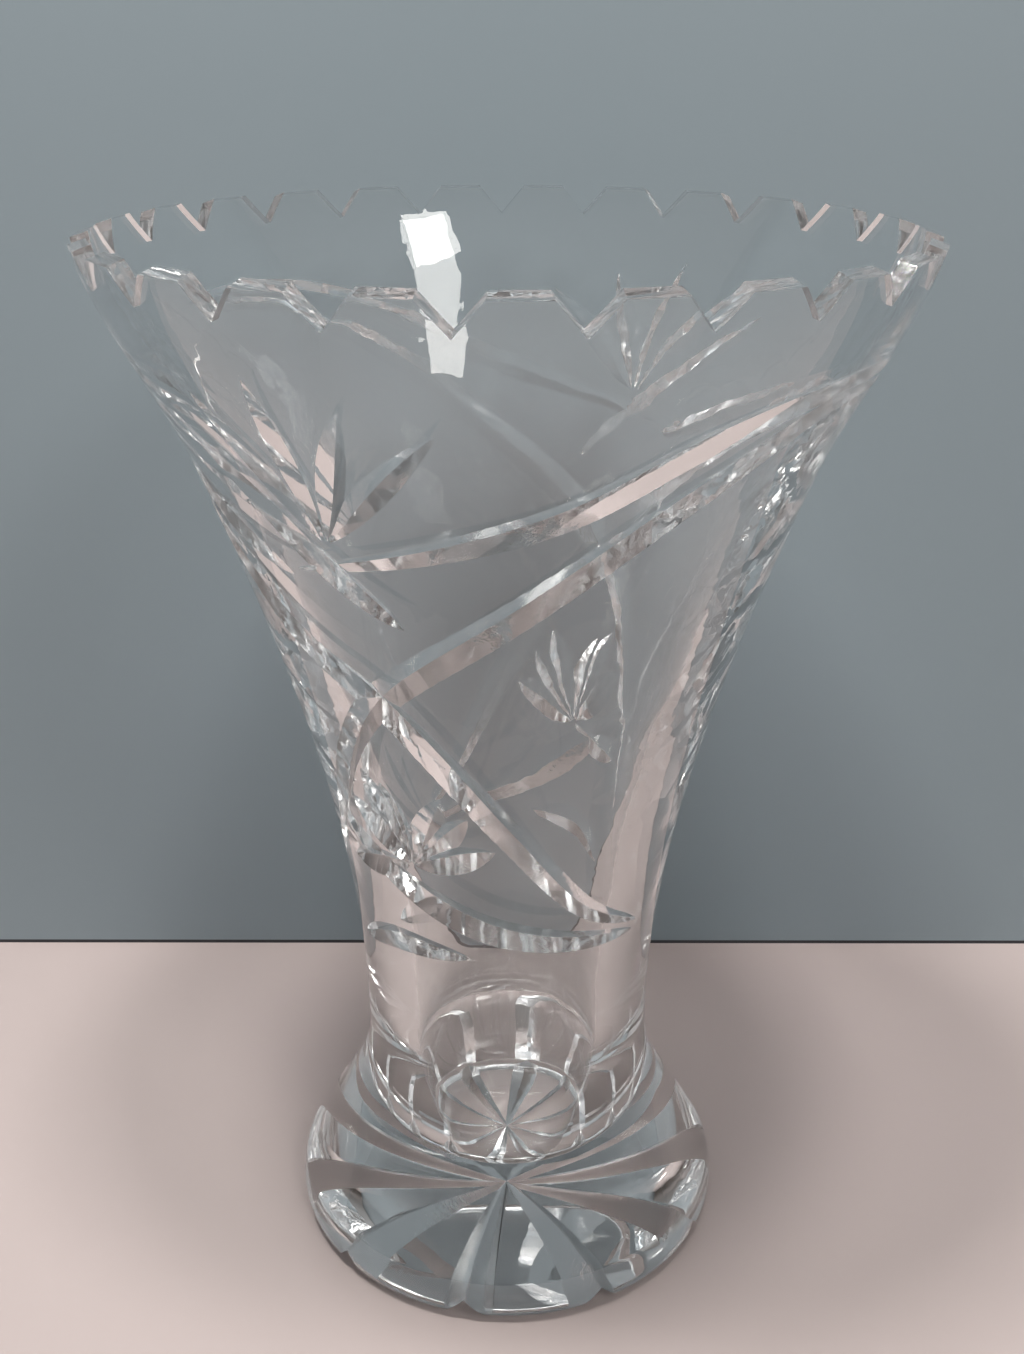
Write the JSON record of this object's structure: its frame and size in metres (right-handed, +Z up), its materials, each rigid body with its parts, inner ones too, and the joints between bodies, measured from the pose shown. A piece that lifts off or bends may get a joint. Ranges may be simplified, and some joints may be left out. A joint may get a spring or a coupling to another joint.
{
  "type": "cut crystal vase",
  "caption": "Flared cut-glass vase on a narrow neck and a solid star-cut foot, with a notched rim and long swirling mitre cuts.",
  "frame": {"origin": "centre of the resting face, on the axis of the vase", "axes": "+Z up along the axis, towards the mouth; -Y is the front"},
  "size_m": [0.18, 0.1799, 0.25],
  "materials": {
    "bowl_glass": "clear lead crystal, fire-polished outside the wheel cuts and acid-polished in them",
    "foot_glass": "clear lead crystal, polished, with a wheel-cut star in its underside"
  },
  "bodies": {
    "root": {"bowl": "bowl_glass", "foot": "foot_glass"}
  },
  "joints": []
}
